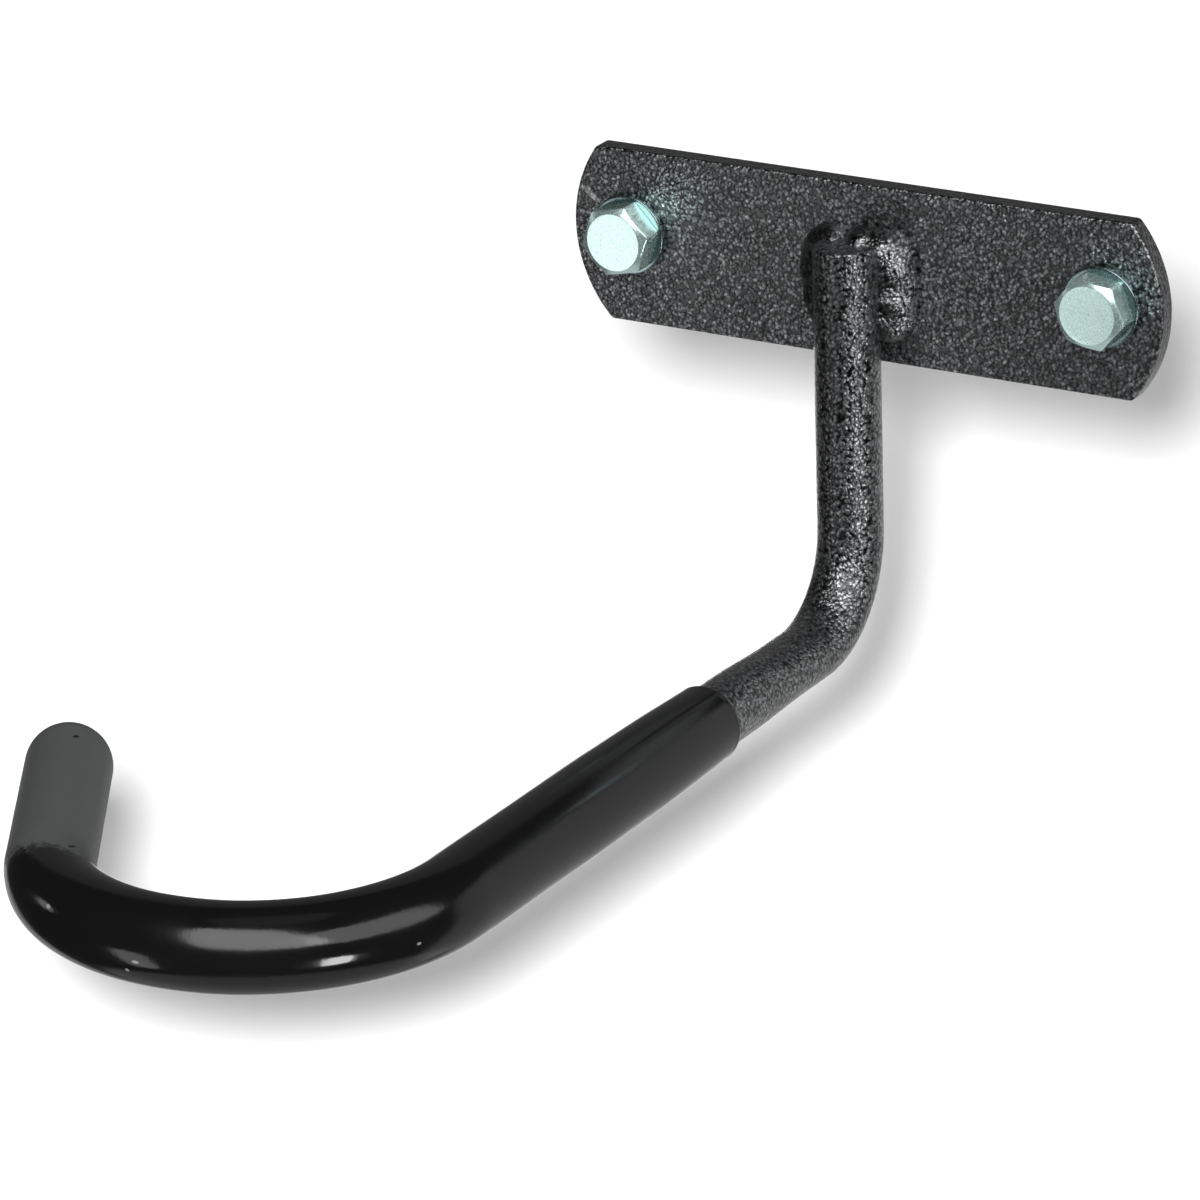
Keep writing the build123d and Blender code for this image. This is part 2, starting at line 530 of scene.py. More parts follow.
def surface_piece(name, rows, material, node, closed_ends=False, sharp=None):
    """Makes a piece from a grid of points, shape (n, m, 3). Each row of m points goes
    once round and closes on itself; neighbouring rows are joined by quads, which face
    outwards when the rows run clockwise as seen from the last one. A row that has all
    its points in one place becomes a pole, because doubles are merged at the end.
    With closed_ends the last row also joins the first."""
    count, around = rows.shape[:2]
    index = np.arange(count * around).reshape(count, around)
    ahead = np.roll(index, -1, axis=0) if closed_ends else index[1:]
    here = index if closed_ends else index[:-1]
    quads = np.stack([here, np.roll(here, -1, 1), np.roll(ahead, -1, 1), ahead], -1)
    mesh = bpy.data.meshes.new(name)
    mesh.from_pydata(rows.reshape(-1, 3).tolist(), [], quads.reshape(-1, 4).tolist())
    work = bmesh.new()
    work.from_mesh(mesh)
    bmesh.ops.remove_doubles(work, verts=work.verts, dist=MERGE_DISTANCE)
    bmesh.ops.recalc_face_normals(work, faces=work.faces)
    work.to_mesh(mesh)
    work.free()
    mesh.shade_smooth()
    if sharp is not None:
        mesh.set_sharp_from_angle(angle=sharp)
    mesh.materials.append(material)
    piece = bpy.data.objects.new(name, mesh)
    bpy.context.scene.collection.objects.link(piece)
    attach(piece, BODY)
    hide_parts(node)
    return piece


def waves(seed, u, v, count, low, high):
    """Gentle unevenness from -1 to 1: the mean of sine waves with random whole turns in
    v, so that it closes round the tube, and a random rate in u between low and high."""
    rng = np.random.default_rng(seed)
    total = np.zeros(np.broadcast(u, v).shape)
    for turns, rate, phase, size in zip(
        rng.integers(0, 4, count),
        rng.uniform(low, high, count),
        rng.uniform(0, 2 * math.pi, count),
        rng.uniform(0.5, 1.0, count),
    ):
        total += size * np.sin(rate * u + turns * v + phase)
    return total / count


def hump(angle, centre, width):
    """A smooth hump of height 1 at the centre, which is given in degrees: the bell curve
    exp(-((angle - centre) / width) ** 2), with angle and width in radians."""
    return np.exp(-(((angle - math.radians(centre)) / width) ** 2))


def rounded_hexagon(angle, apothem, sharpness=60):
    """Radius of a hexagon with slightly rounded corners: the sixty-norm of the six
    distances along its flats' normals is held at the apothem."""
    flats = np.arange(6) * math.pi / 3
    reach = np.clip(np.cos(angle[..., None] - flats), 0, None) ** sharpness
    return apothem / reach.sum(-1) ** (1 / sharpness)


def blot(tree, place, spot):
    """1 inside a small flat or long spot on the surface and 0 outside it: the length of
    the place vector in the spot's own frame, where the spot is a ball of radius 1."""
    local = add_node(
        tree,
        "ShaderNodeMapping",
        {
            "Vector": place.outputs["Object"],
            "Location": [c * MM for c in spot.centre],
            "Rotation": [math.radians(c) for c in spot.turn],
            "Scale": [c * MM for c in spot.half_size],
        },
        vector_type="TEXTURE",
    )
    away = add_node(tree, "ShaderNodeVectorMath", {0: local.outputs[0]}, operation="LENGTH")
    return add_node(
        tree,
        "ShaderNodeMapRange",
        {"Value": away.outputs["Value"], 1: 0.6, 2: 1.0, 3: 1.0, 4: 0.0},
        interpolation_type="SMOOTHSTEP",
    ).outputs[0]


def hammertone_powder_coat(name, coat, share, fade=None, scratches_and_glints=()):
    """Hammertone powder coat: polyester resin with aluminium flake that draws up into
    small hammer marks as it is baked. Grey flake lies on the marks and dark resin
    between them, and each mark glints by itself under the gloss. Share scales the whole
    tone, so that lighter and darker copies of the one coat paint light and shade. Fade
    darkens the faces that turn from the light, by the direction of their normal, which
    is painted shade. Scratches and glints lay a light grey spot: on the plate a scratch
    lays bare a light grey line, and on the weld the spot is a painted highlight."""
    material, tree, surface = new_material(
        name, **{"Metallic": 1.0, "Coat Weight": 1.0, "Coat Roughness": 0.14}
    )
    place = add_node(tree, "ShaderNodeTexCoord")
    # pushes the places about by up to half a mark, so that no mark stays round
    push = add_node(
        tree,
        "ShaderNodeTexNoise",
        {"Vector": place.outputs["Object"], "Scale": 1.2 / coat.cell, "Detail": 0.0},
    )
    pushed = add_node(
        tree,
        "ShaderNodeVectorMath",
        {0: push.outputs["Color"], 1: [0.75 * coat.cell] * 3, 2: place.outputs["Object"]},
        operation="MULTIPLY_ADD",
    )
    marks = add_node(
        tree,
        "ShaderNodeTexVoronoi",
        {"Vector": pushed.outputs[0], "Scale": 1 / coat.cell, "Randomness": 1.0},
        feature="F1",
    )
    # 1 in the middle of a mark, 0 in the furrows between them
    flake = add_node(
        tree,
        "ShaderNodeMapRange",
        {"Value": marks.outputs["Distance"], 1: 0.1, 2: 0.85, 3: 1.0, 4: 0.0},
        interpolation_type="SMOOTHSTEP",
    )
    # how much flake each mark has drawn up, which differs from mark to mark
    load = add_node(
        tree,
        "ShaderNodeMapRange",
        {"Value": marks.outputs["Color"], 1: 0.25, 2: 0.75, 3: 0.4, 4: 1.0},
    )
    bright = add_node(
        tree,
        "ShaderNodeMath",
        {0: flake.outputs[0], 1: load.outputs[0]},
        operation="MULTIPLY",
    )
    colour = add_node(
        tree,
        "ShaderNodeMix",
        {
            MIX_FACTOR: bright.outputs[0],
            MIX_A: (*(c * share for c in coat.base), 1),
            MIX_B: (*(c * share for c in coat.fleck), 1),
        },
        data_type="RGBA",
    )
    tone = colour.outputs[MIX_RESULT]
    # painted shade: the tone darkens on faces whose normal runs little along the fade's axis
    if fade:
        normal = add_node(tree, "ShaderNodeSeparateXYZ", {0: place.outputs["Normal"]})
        facing = normal.outputs[fade.axis]
        if fade.both_ways:
            facing = add_node(
                tree, "ShaderNodeMath", {0: facing}, operation="ABSOLUTE"
            ).outputs[0]
        shade = add_node(
            tree,
            "ShaderNodeMapRange",
            {"Value": facing, 1: fade.low, 2: fade.high, 3: fade.share, 4: 1.0},
        )
        tone = add_node(
            tree,
            "ShaderNodeVectorMath",
            {0: tone, "Scale": shade.outputs[0]},
            operation="SCALE",
        ).outputs[0]
    # light grey spots: the plate's scratch and the painted highlight on the weld
    for scratch_and_glint in scratches_and_glints:
        tone = add_node(
            tree,
            "ShaderNodeMix",
            {
                MIX_FACTOR: blot(tree, place, scratch_and_glint),
                MIX_A: tone,
                MIX_B: (*coat.scratch_and_glint, 1),
            },
            data_type="RGBA",
        ).outputs[MIX_RESULT]
    tree.links.new(tone, surface.inputs["Base Color"])
    # the marks are a little smoother than the furrows
    rough = add_node(
        tree,
        "ShaderNodeMapRange",
        {"Value": flake.outputs[0], 3: 0.42, 4: 0.34},
    )
    tree.links.new(rough.outputs[0], surface.inputs["Roughness"])
    bump = add_node(
        tree,
        "ShaderNodeBump",
        {"Height": flake.outputs[0], "Strength": 1.0, "Distance": coat.relief},
    )
    tree.links.new(bump.outputs[0], surface.inputs["Normal"])
    tree.links.new(bump.outputs[0], surface.inputs["Coat Normal"])
    return material


def soft_vinyl(sleeve):
    """Plasticised PVC, dipped: a deep black body under a wet-looking skin. Handling
    leaves it slightly satin in patches, and the tip carries a grey film of dust."""
    material, tree, surface = new_material("dipped_soft_vinyl", Metallic=0.0, IOR=1.53)
    place = add_node(tree, "ShaderNodeTexCoord")
    # dull patches about 20 mm wide, with finer scuffing of 1 mm inside them
    dull = add_node(
        tree,
        "ShaderNodeTexNoise",
        {"Vector": place.outputs["Object"], "Scale": 1 / (20 * MM), "Detail": 3.0},
    )
    rough = add_node(
        tree,
        "ShaderNodeMapRange",
        {"Value": dull.outputs["Fac"], 1: 0.35, 2: 0.7, 3: 0.10, 4: 0.24},
    )
    # the film covers the tip and fades out over the end of the bend
    part = add_node(tree, "ShaderNodeSeparateXYZ", {0: place.outputs["Object"]})
    left = add_node(
        tree,
        "ShaderNodeMapRange",
        {"Value": part.outputs["X"], 1: -52 * MM, 2: -62 * MM, 3: 0.0, 4: 1.0},
    )
    behind = add_node(
        tree,
        "ShaderNodeMapRange",
        {"Value": part.outputs["Y"], 1: -193 * MM, 2: -184 * MM, 3: 0.0, 4: 1.0},
    )
    film = add_node(
        tree,
        "ShaderNodeMath",
        {0: left.outputs[0], 1: behind.outputs[0]},
        operation="MULTIPLY",
    )
    # the grain of the skin makes the film's edge ragged
    grain = add_node(
        tree,
        "ShaderNodeTexNoise",
        {"Vector": place.outputs["Object"], "Scale": 1 / (1.2 * MM), "Detail": 2.0},
    )
    ragged = add_node(
        tree,
        "ShaderNodeMath",
        {0: grain.outputs["Fac"], 1: 0.8, 2: film.outputs[0]},
        operation="MULTIPLY_ADD",
    )
    film = add_node(
        tree,
        "ShaderNodeMapRange",
        {"Value": ragged.outputs[0], 1: 0.7, 2: 1.1, 3: 0.0, 4: 1.0},
        interpolation_type="SMOOTHSTEP",
    )
    # under the film the gloss is gone
    satin = add_node(
        tree,
        "ShaderNodeMix",
        {0: film.outputs[0], 2: rough.outputs[0], 3: 0.45},
        data_type="FLOAT",
    )
    tree.links.new(satin.outputs[0], surface.inputs["Roughness"])
    tone = add_node(
        tree,
        "ShaderNodeMix",
        {
            MIX_FACTOR: dull.outputs["Fac"],
            MIX_A: (*sleeve.colour, 1),
            MIX_B: (*(c * 1.4 for c in sleeve.colour), 1),
        },
        data_type="RGBA",
    ).outputs[MIX_RESULT]
    tone = add_node(
        tree,
        "ShaderNodeMix",
        {MIX_FACTOR: film.outputs[0], MIX_A: tone, MIX_B: (*sleeve.film, 1)},
        data_type="RGBA",
    ).outputs[MIX_RESULT]
    # painted highlights as pale spots on the outside of the bend, small dark pits on the tip
    for spots, shade in ((SLEEVE_GLINTS, sleeve.dust), (SLEEVE_PITS, (0.0, 0.0, 0.0))):
        for spot in spots:
            tone = add_node(
                tree,
                "ShaderNodeMix",
                {
                    MIX_FACTOR: blot(tree, place, spot),
                    MIX_A: tone,
                    MIX_B: (*shade, 1),
                },
                data_type="RGBA",
            ).outputs[MIX_RESULT]
    tree.links.new(tone, surface.inputs["Base Color"])
    bump = add_node(
        tree,
        "ShaderNodeBump",
        {"Height": grain.outputs["Fac"], "Strength": 0.5, "Distance": 0.035 * MM},
    )
    tree.links.new(bump.outputs[0], surface.inputs["Normal"])
    return material


def zinc_electroplate(name, zinc, metallic):
    """Bright zinc electroplate, blue passivated, on forged or stamped steel: a pale
    metal with a cool green cast, silky rather than mirror-like, its grain a few tenths
    of a millimetre, drawn at half a millimetre so that it shows. The passivation film
    scatters a little light, which the metallic value leaves."""
    material, tree, surface = new_material(name, Metallic=metallic)
    place = add_node(tree, "ShaderNodeTexCoord")
    grain = add_node(
        tree,
        "ShaderNodeTexNoise",
        {"Vector": place.outputs["Object"], "Scale": 1 / (0.5 * MM), "Detail": 3.0},
    )
    rough = add_node(
        tree,
        "ShaderNodeMapRange",
        {"Value": grain.outputs["Fac"], 1: 0.3, 2: 0.7, 3: 0.19, 4: 0.3},
    )
    tree.links.new(rough.outputs[0], surface.inputs["Roughness"])
    tone = add_node(
        tree,
        "ShaderNodeMix",
        {
            MIX_FACTOR: grain.outputs["Fac"],
            MIX_A: (*(c * 0.8 for c in zinc), 1),
            MIX_B: (*zinc, 1),
        },
        data_type="RGBA",
    )
    tree.links.new(tone.outputs[MIX_RESULT], surface.inputs["Base Color"])
    bump = add_node(
        tree,
        "ShaderNodeBump",
        {"Height": grain.outputs["Fac"], "Strength": 0.25, "Distance": 0.03 * MM},
    )
    tree.links.new(bump.outputs[0], surface.inputs["Normal"])
    return material


class WALLHOOK_OT_coat(bpy.types.Operator):
    """Gives the CAD plate and bar their powder coat"""

    bl_idname = "wallhook.coat"
    bl_label = "Coat plate and bar"

    def execute(self, context):
        coat = context.scene.wall_hook.coat
        # The plate's copy of the coat is brighter (share 1.2) and the bar's darker (share 0.8), though
        # both wear one coat: painted light on the plate and painted shade on the bar.
        plate_coat = hammertone_powder_coat(
            "hammertone_plate_coat", coat, 1.2, PLATE_EDGE_SHADE, PLATE_SCRATCHES
        )
        bar_coat = hammertone_powder_coat("hammertone_powder_coat", coat, 0.8)
        for name, material in (("mounting_plate", plate_coat), ("hook_rod", bar_coat)):
            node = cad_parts[name]
            node.data.materials.clear()
            node.data.materials.append(material)
        return {"FINISHED"}


class WALLHOOK_OT_sleeve(bpy.types.Operator):
    """Builds the vinyl sleeve: a wall profile carried along the bent bar"""

    bl_idname = "wallhook.sleeve"
    bl_label = "Build sleeve"

    def execute(self, context):
        sleeve = context.scene.wall_hook.sleeve
        material = soft_vinyl(sleeve)
        full = (SLEEVE_HIGH.z - SLEEVE_LOW.z) / 2
        lip_y = SLEEVE_HIGH.y
        bend_y = SLEEVE_LOW.y + sleeve.bend_radius + full
        straight = lip_y - bend_y
        bend = sleeve.bend_radius * sleeve.bend_angle
        length = straight + bend + sleeve.tip_length
        # the bore stands a little off the bar, so that their faces don't flicker
        clearance = 0.02 * MM
        wall_in = sleeve.bar_radius + clearance
        lip_round = 0.8 * MM
        # power of the curve by which the taper runs out
        ease_out = 2.2
        lip_points, tube_points, dome_points, bore_points, around = 9, 560, 24, 120, 96

        # outer skin: rounded lip, taper, even tube, half-round end
        lip_turn = np.linspace(-0.5 * math.pi, 0, lip_points)
        skin_s = [lip_round + lip_round * np.sin(lip_turn)]
        skin_r = [sleeve.lip_radius - lip_round + lip_round * np.cos(lip_turn)]
        along = np.linspace(lip_round, length, tube_points)[1:]
        share = np.clip(along / sleeve.taper, 0, 1)
        growth = 1 - (1 - share) ** ease_out
        skin_s.append(along)
        skin_r.append(sleeve.lip_radius + (full - sleeve.lip_radius) * growth)
        dome = np.linspace(0, 0.5 * math.pi, dome_points)[1:]
        skin_s.append(length + full * np.sin(dome))
        skin_r.append(full * np.cos(dome))
        # inner wall, back from the closed end of the bore to the lip
        bore_s = np.concatenate([[length + clearance] * 2, np.linspace(length, 0, bore_points)])
        bore_r = np.concatenate([[0.0, wall_in], np.full(bore_points, wall_in)])
        profile_s = np.concatenate([bore_s, *skin_s])[:, None]
        profile_r = np.concatenate([bore_r, *skin_r])[:, None]
        profile_r[-1] = 0.0

        turn = np.linspace(0, 2 * math.pi, around, endpoint=False)[None, :]
        # The skin sinks in uneven places and by a hair all over, less towards its pole,
        # so that it stays inside the CAD sleeve. The bore stays true.
        inside = bore_s.size + lip_turn.size
        sunk = np.where(np.arange(profile_r.size)[:, None] < inside, 0.0, profile_r / full)
        uneven = waves(7, profile_s / MM, turn, count=14, low=0.05, high=0.35)
        radius = profile_r + sunk * ((uneven - 1) * sleeve.unevenness - 1.5 * clearance)

        bend_s = np.clip(profile_s - straight, 0, bend)
        angle = bend_s / sleeve.bend_radius
        tip_s = np.clip(profile_s - straight - bend, 0, None)
        run_s = np.minimum(profile_s, straight)
        centre_x = (
            sleeve.bend_radius * (np.cos(angle) - 1) - tip_s * math.sin(sleeve.bend_angle)
        )
        centre_y = (
            lip_y
            - run_s
            - sleeve.bend_radius * np.sin(angle)
            - tip_s * math.cos(sleeve.bend_angle)
        )
        sideways = radius * np.cos(turn)
        rows = np.stack(
            [
                centre_x + sideways * np.cos(angle),
                centre_y - sideways * np.sin(angle),
                ARM_HEIGHT + radius * np.sin(turn),
            ],
            -1,
        )
        surface_piece("vinyl_sleeve", rows, material, "grip_sleeve")
        return {"FINISHED"}


class WALLHOOK_OT_weld(bpy.types.Operator):
    """Builds the rippled weld bead round the bar's upper end"""

    bl_idname = "wallhook.weld"
    bl_label = "Build weld"

    def execute(self, context):
        settings = context.scene.wall_hook
        weld = settings.weld
        # the weld's own copy of the coat (share 0.85) is darker on every face that does not turn to
        # the right: painted shade on its left run and top, which turn from the light
        material = hammertone_powder_coat(
            "left_shaded_powder_coat", settings.coat, 0.85, WELD_LEFT_SHADE, WELD_NOTCH_HIGHLIGHT
        )
        middle = (WELD_HIGH.z + WELD_LOW.z) / 2
        half_width = WELD_HIGH.x - 0.1 * MM
        half_height = (WELD_HIGH.z - WELD_LOW.z) / 2

        # Outline on the plate, as a distance from the middle at each angle: the power
        # mean of an ellipse, less a sharp notch where the two runs meet above the bar
        # and a gap between the two feet below, and a little more on the left.
        angle = np.linspace(0, 2 * math.pi, 720, endpoint=False)[None, :]
        away = np.abs(np.cos(angle) / half_width) ** 3 + np.abs(np.sin(angle) / half_height) ** 3
        outline = away ** (-1 / 3)
        notch = np.exp(-np.abs(angle - math.radians(104)) / 0.14)
        left_run = hump(angle, 160, 0.5)
        gap = hump(angle, 270, 0.35)
        outline = outline - weld.notch * notch + (0.8 * left_run - 6 * gap) * MM
        # height of the crest, and how far out it stands as a share of the outline
        above = hump(angle, 90, 0.75)
        crest = (5.4 + 1.0 * above - 2.5 * gap) * MM - 0.5 * weld.notch * notch
        inner = 0.5 + 0.22 * above

        # Section at each angle: a quarter ellipse from the toe on the plate to the
        # crest at the bar, swollen by lumps and ripples that run out at the toe.
        section_points = 30
        rise = np.linspace(0, 1, section_points)[:, None] * math.pi / 2
        # length along the bead, which runs about 11 mm out from the middle
        travel = angle * 11 * MM
        lumps = np.cos(2 * math.pi * travel / weld.lump + 0.8) * weld.lump_height
        ripples = np.cos(2 * math.pi * travel / weld.ripple + 1.2 * rise**2) * weld.ripple_depth
        swell = (lumps + ripples) * np.sin(rise) * (1 - gap)
        reach = outline * (inner + (1 - inner) * np.cos(rise)) + swell * np.cos(rise)
        height = crest * np.sin(rise) + swell * np.sin(rise)
        # closing rings: the foot inside the plate, the crest inside the bar
        pole = np.zeros_like(angle)
        root = np.full_like(angle, -0.3 * MM)
        core = np.full_like(angle, 5 * MM)
        reach = np.concatenate([pole, outline, reach, outline * 0.3, pole])
        height = np.concatenate([root, root, height, core, core])
        rows = np.stack(
            [
                reach * np.cos(angle),
                PLATE_FRONT - height,
                middle + reach * np.sin(angle),
            ],
            -1,
        )
        surface_piece("weld_run", rows, material, "weld_bead")
        return {"FINISHED"}


class WALLHOOK_OT_bolts(bpy.types.Operator):
    """Builds both hex bolts: chamfered head, plain shank and thread"""

    bl_idname = "wallhook.bolts"
    bl_label = "Build bolts"

    def execute(self, context):
        fastener = context.scene.wall_hook.fastener
        material = zinc_electroplate("zinc_electroplate", fastener.zinc, 0.95)
        turn = np.linspace(0, 2 * math.pi, 144, endpoint=False)
        # the cone that cuts the hexagon's corners falls at 30 degrees
        slope = math.tan(math.radians(30))
        face = fastener.face / 2
        seat = WASHER_LOW.y
        # width of the eased edges
        ease = 0.12 * MM
        thread_rows = 134
        # depth of a cut thread, and its flat crest and root, as shares of its pitch
        thread_depth = 0.61
        thread_flat = 0.1
        point_length = 1.0 * MM
        for side, place, lean in (
            ("left", BOLT_X, fastener.left_turn),
            ("right", -BOLT_X, fastener.right_turn),
        ):
            flats = rounded_hexagon(turn - lean + math.pi / 6, fastener.across_flats / 2)
            edge = HEAD_TOP_Y + (flats - face) * slope
            radii, heights = [], []
            # round face, then the cone that cuts the corners
            for share in np.linspace(0, 1, 10):
                radii.append(np.full_like(turn, share * (face - ease)))
                heights.append(np.full_like(turn, HEAD_TOP_Y))
            for share in (0.25, 0.6, 1.0):
                radii.append(np.full_like(turn, face - ease * (1 - share)))
                heights.append(np.full_like(turn, HEAD_TOP_Y + 0.2 * ease * share**2))
            for share in np.linspace(0.1, 1, 6):
                reach = face + (flats - ease - face) * share
                radii.append(reach)
                heights.append(HEAD_TOP_Y + 0.2 * ease + (reach - face) * slope)
            radii.append(flats - ease * 0.3)
            heights.append(edge + 0.2 * ease)
            # hexagon's sides down to the washer
            for share in np.linspace(0, 1, 8):
                radii.append(flats)
                heights.append(edge + ease + (seat - ease - edge - ease) * share)
            radii.append(flats - ease)
            heights.append(np.full_like(turn, seat))
            shank = fastener.shank / 2
            for reach, height in ((shank, seat), (shank, PLATE_FRONT), (shank, 0.0)):
                radii.append(np.full_like(turn, reach))
                heights.append(np.full_like(turn, height))
            # thread: a triangle wave of the pitch, cut flat at crest and root, that
            # moves on by one pitch a turn
            crest = fastener.thread / 2
            depth = thread_depth * fastener.pitch
            for height in np.linspace(0, THREAD_END_Y, thread_rows):
                phase = np.mod(height / fastener.pitch - turn / (2 * math.pi), 1)
                slant = (np.abs(phase * 2 - 1) - thread_flat) / (1 - 2 * thread_flat)
                wave = np.clip(slant, 0, 1)
                run_in = min(height / fastener.pitch, 1)
                reach = crest - depth * wave * run_in
                point = crest - max(height - (THREAD_END_Y - point_length), 0)
                radii.append(np.minimum(reach, point))
                heights.append(np.full_like(turn, height))
            radii.append(np.zeros_like(turn))
            heights.append(np.full_like(turn, THREAD_END_Y))
            radius, height = np.array(radii), np.array(heights)
            rows = np.stack(
                [place + radius * np.cos(turn), height, BOLT_Z + radius * np.sin(turn)], -1
            )
            surface_piece(
                f"hex_bolt_{side}",
                rows,
                material,
                f"bolt_{side}",
                sharp=math.radians(40),
            )
        return {"FINISHED"}


class WALLHOOK_OT_washers(bpy.types.Operator):
    """Builds both flat washers: a rounded section carried round a circle"""

    bl_idname = "wallhook.washers"
    bl_label = "Build washers"

    def execute(self, context):
        fastener = context.scene.wall_hook.fastener
        # the washers get a darker copy of the bolts' zinc with no diffuse part: painted shade round
        # the bolt heads
        material = zinc_electroplate("shaded_zinc_electroplate", fastener.washer_shade_zinc, 1.0)
        outer = (WASHER_HIGH.x - WASHER_LOW.x) / 2
        # half of the usual 8.4 mm hole for an 8 mm bolt
        inner = 4.2 * MM
        middle, half = (outer + inner) / 2, (outer - inner) / 2
        thick = (WASHER_HIGH.y - WASHER_LOW.y) / 2
        level = (WASHER_HIGH.y + WASHER_LOW.y) / 2
        section = np.linspace(0, 2 * math.pi, 64, endpoint=False)[:, None]
        turn = np.linspace(0, 2 * math.pi, 128, endpoint=False)[None, :]
        # superellipse of power 9: flat faces with stamped, slightly rolled rims
        power = 2 / 9
        across = np.sign(np.cos(section)) * np.abs(np.cos(section)) ** power
        through = np.sign(np.sin(section)) * np.abs(np.sin(section)) ** power
        radius = middle + half * across
        depth = np.broadcast_to(level + thick * through, (section.size, turn.size))
        for side, place in (("left", BOLT_X), ("right", -BOLT_X)):
            rows = np.stack(
                [place + radius * np.cos(turn), depth, BOLT_Z + radius * np.sin(turn)], -1
            )
            surface_piece(
                f"flat_washer_{side}",
                rows,
                material,
                f"washer_{side}",
                closed_ends=True,
            )
        return {"FINISHED"}


def sky_patch(tree, azimuth, elevation, patch):
    """Brightness of one patch of the surroundings: its radiance inside the superellipse
    |x|^4 + |y|^4 = 1 about its centre, falling to 0 across the softness."""
    leaning = add_node(
        tree,
        "ShaderNodeMath",
        {0: elevation, 1: patch.lean, 2: azimuth},
        operation="MULTIPLY_ADD",
    )
    fourth_powers = []
    for direction, centre, half in (
        (leaning.outputs[0], patch.azimuth + patch.lean * patch.elevation, patch.half_width),
        (elevation, patch.elevation, patch.half_height),
    ):
        offset = add_node(
            tree,
            "ShaderNodeMapRange",
            {"Value": direction, 1: centre - half, 2: centre + half, 3: -1, 4: 1},
            clamp=False,
        )
        square = add_node(
            tree,
            "ShaderNodeMath",
            {0: offset.outputs[0], 1: offset.outputs[0]},
            operation="MULTIPLY",
        )
        fourth = add_node(
            tree,
            "ShaderNodeMath",
            {0: square.outputs[0], 1: square.outputs[0]},
            operation="MULTIPLY",
        )
        fourth_powers.append(fourth.outputs[0])
    total = add_node(
        tree, "ShaderNodeMath", {0: fourth_powers[0], 1: fourth_powers[1]}, operation="ADD"
    )
    soft = patch.softness
    return add_node(
        tree,
        "ShaderNodeMapRange",
        {"Value": total.outputs[0], 1: 1 - soft, 2: 1 + soft, 3: patch.radiance, 4: 0.0},
        interpolation_type="SMOOTHSTEP",
    ).outputs[0]


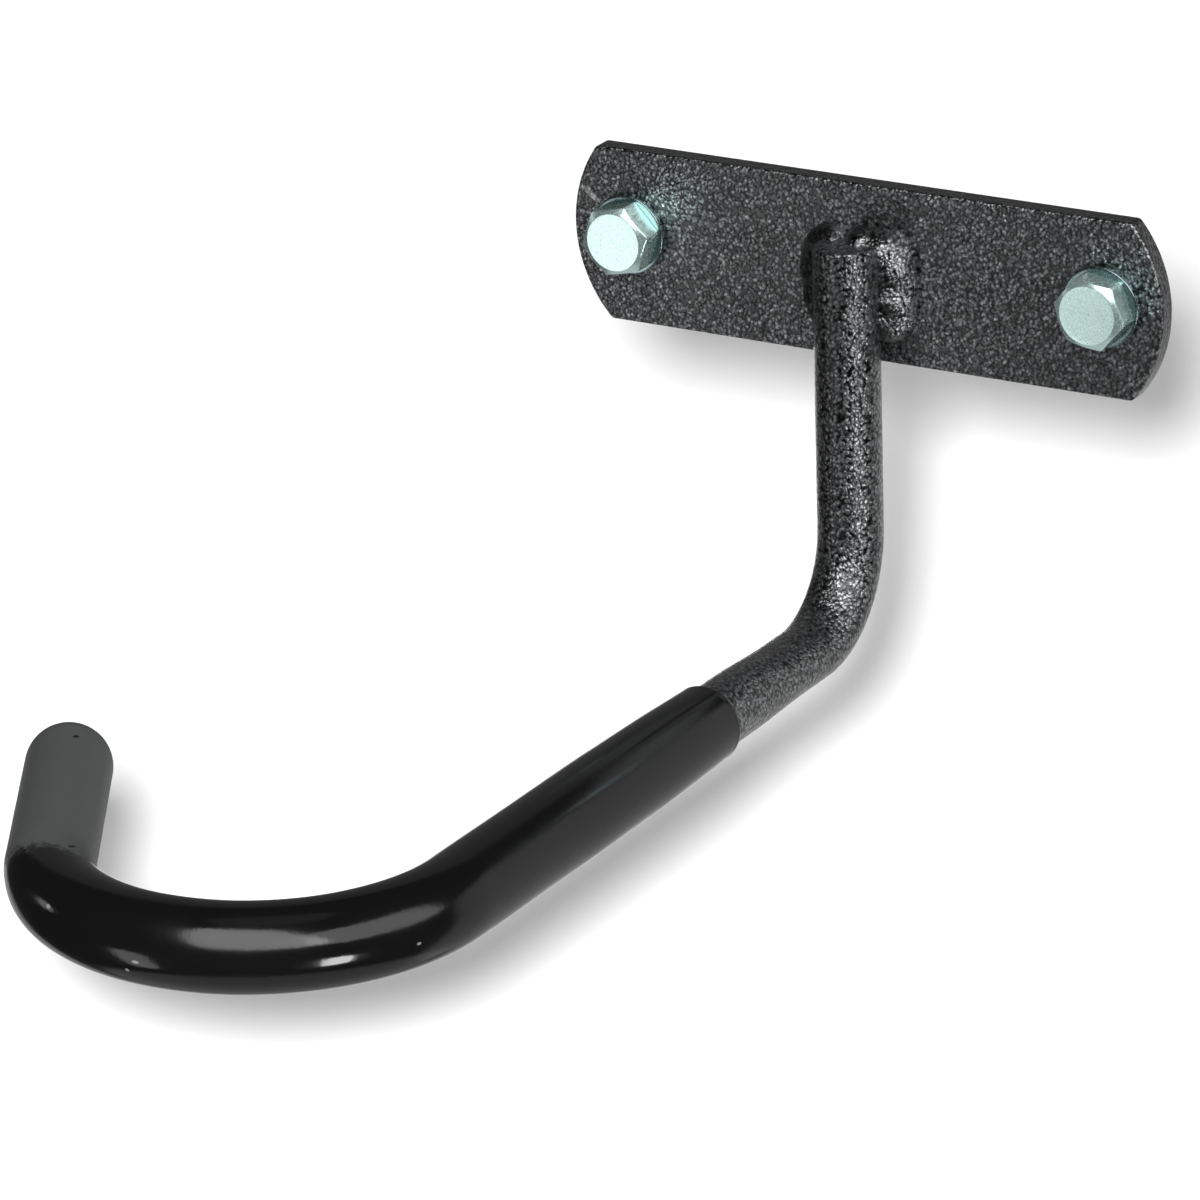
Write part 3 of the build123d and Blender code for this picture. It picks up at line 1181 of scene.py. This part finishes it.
class WALLHOOK_OT_stage(bpy.types.Operator):
    """Sets up the pale floor, the soft studio light and the camera"""

    bl_idname = "wallhook.stage"
    bl_label = "Set up stage"

    def execute(self, context):
        stage = context.scene.wall_hook.stage
        context.scene.view_settings.view_transform = "Standard"

        # matt paper, a square of 18 m
        floor_mesh = bpy.data.meshes.new("floor")
        reach = 9.0
        level = CAD_BOX[0].z - stage.floor_drop
        corners = [(-reach, -reach), (reach, -reach), (reach, reach), (-reach, reach)]
        floor_mesh.from_pydata([(x, y, level) for x, y in corners], [], [(0, 1, 2, 3)])
        paper = new_material(
            "studio_paper", **{"Base Color": (*stage.floor, 1), "Roughness": 0.9, "IOR": 1.3}
        )[0]
        floor_mesh.materials.append(paper)
        floor = bpy.data.objects.new("floor", floor_mesh)
        context.scene.collection.objects.link(floor)
        # glossy parts mirror the studio's surroundings below instead of the paper
        floor.visible_glossy = False

        # Surroundings: azimuth and elevation of each line of sight in degrees, then the
        # sum of the patches there. The camera itself sees plain white behind the hook.
        world = bpy.data.worlds.new("studio")
        context.scene.world = world
        world.use_nodes = True
        tree = world.node_tree
        tree.nodes.clear()
        place = add_node(tree, "ShaderNodeTexCoord")
        parts = add_node(tree, "ShaderNodeSeparateXYZ", {0: place.outputs["Generated"]})
        flipped = add_node(
            tree, "ShaderNodeMath", {0: parts.outputs["Y"], 1: -1.0}, operation="MULTIPLY"
        )
        turned = add_node(
            tree,
            "ShaderNodeMath",
            {0: parts.outputs["X"], 1: flipped.outputs[0]},
            operation="ARCTAN2",
        )
        azimuth = add_node(
            tree, "ShaderNodeMath", {0: turned.outputs[0]}, operation="DEGREES"
        ).outputs[0]
        raised = add_node(
            tree, "ShaderNodeMath", {0: parts.outputs["Z"]}, operation="ARCSINE"
        )
        elevation = add_node(
            tree, "ShaderNodeMath", {0: raised.outputs[0]}, operation="DEGREES"
        ).outputs[0]
        glow = GLOOM
        for patch in SURROUNDINGS:
            glow = add_node(
                tree,
                "ShaderNodeMath",
                {0: sky_patch(tree, azimuth, elevation, patch), 1: glow},
                operation="ADD",
            ).outputs[0]
        path = add_node(tree, "ShaderNodeLightPath")
        seen = add_node(
            tree,
            "ShaderNodeMix",
            {0: path.outputs["Is Camera Ray"], 2: glow, 3: 1.0},
            data_type="FLOAT",
        )
        sky = add_node(
            tree, "ShaderNodeBackground", {"Color": (1, 1, 1, 1), "Strength": seen.outputs[0]}
        )
        add_node(tree, "ShaderNodeOutputWorld", {"Surface": sky.outputs[0]})

        # Camera: a pinhole fitted to the plate, the bolts and the hook's centre line, in
        # pixels of the photograph: its focal length, the picture's middle and the place
        # of the plate's middle.
        focal = 7011.2
        middle = 600.0
        plate_column = 872.1
        plate_row = 265.9
        turn, tilt, roll = stage.azimuth, stage.elevation, stage.roll
        back = Vector(
            (
                math.sin(turn) * math.cos(tilt),
                -math.cos(turn) * math.cos(tilt),
                math.sin(tilt),
            )
        )
        level_right = Vector((math.cos(turn), math.sin(turn), 0))
        level_up = back.cross(level_right)
        right = level_right * math.cos(roll) + level_up * math.sin(roll)
        up = level_up * math.cos(roll) - level_right * math.sin(roll)
        away = stage.distance
        aside = (plate_column - middle) / focal * away
        below = (plate_row - middle) / focal * away
        lens = bpy.data.cameras.new("photo_view")
        lens.sensor_width = 36.0
        lens.lens = focal / (2 * middle) * lens.sensor_width
        lens.clip_start = 0.05
        lens.clip_end = 60.0
        camera = bpy.data.objects.new("photo_view", lens)
        aim = Matrix((right, up, back)).transposed().to_4x4()
        eye = back * away - right * aside + up * below
        camera.matrix_world = Matrix.Translation(eye) @ aim
        context.scene.collection.objects.link(camera)
        context.scene.camera = camera

        # The key light stands just above and to the left of the lens, so that the
        # shadow on the paper peeps out below and to the right of the hook. Its light
        # does not fade with distance, as if it were far away.
        lamp = bpy.data.lights.new("key", "POINT")
        lamp.shadow_soft_size = stage.key_radius
        lamp.energy = stage.key_strength
        lamp.use_nodes = True
        even = add_node(lamp.node_tree, "ShaderNodeLightFalloff", {"Strength": 1.0})
        lamp.node_tree.links.new(
            even.outputs["Constant"], lamp.node_tree.nodes["Emission"].inputs["Strength"]
        )
        key = bpy.data.objects.new("key", lamp)
        key.location = eye - right * stage.key_left + up * stage.key_above
        key.visible_glossy = False
        context.scene.collection.objects.link(key)
        return {"FINISHED"}


OPERATORS = (
    WALLHOOK_OT_coat,
    WALLHOOK_OT_sleeve,
    WALLHOOK_OT_weld,
    WALLHOOK_OT_washers,
    WALLHOOK_OT_bolts,
    WALLHOOK_OT_stage,
)


class WALLHOOK_PT_looks(bpy.types.Panel):
    """Lists the steps that dress the wall hook"""

    bl_idname = "WALLHOOK_PT_looks"
    bl_label = "Wall hook"
    bl_space_type = "VIEW_3D"
    bl_region_type = "UI"
    bl_category = "Wall hook"

    def draw(self, context):
        for step in OPERATORS:
            self.layout.operator(step.bl_idname)


CLASSES = (
    HookCoatSettings,
    HookSleeveSettings,
    HookWeldSettings,
    HookFastenerSettings,
    HookStageSettings,
    HookLookSettings,
    *OPERATORS,
    WALLHOOK_PT_looks,
)


def register():
    for entry in CLASSES:
        bpy.utils.register_class(entry)
    bpy.types.Scene.wall_hook = bpy.props.PointerProperty(
        type=HookLookSettings, name="Wall hook", description="Looks of the wall hook"
    )


def unregister():
    del bpy.types.Scene.wall_hook
    for entry in reversed(CLASSES):
        bpy.utils.unregister_class(entry)


def main():
    """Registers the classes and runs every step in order."""
    register()
    bpy.ops.wallhook.coat()
    bpy.ops.wallhook.sleeve()
    bpy.ops.wallhook.weld()
    bpy.ops.wallhook.washers()
    bpy.ops.wallhook.bolts()
    bpy.ops.wallhook.stage()


if __name__ == "__main__":
    main()
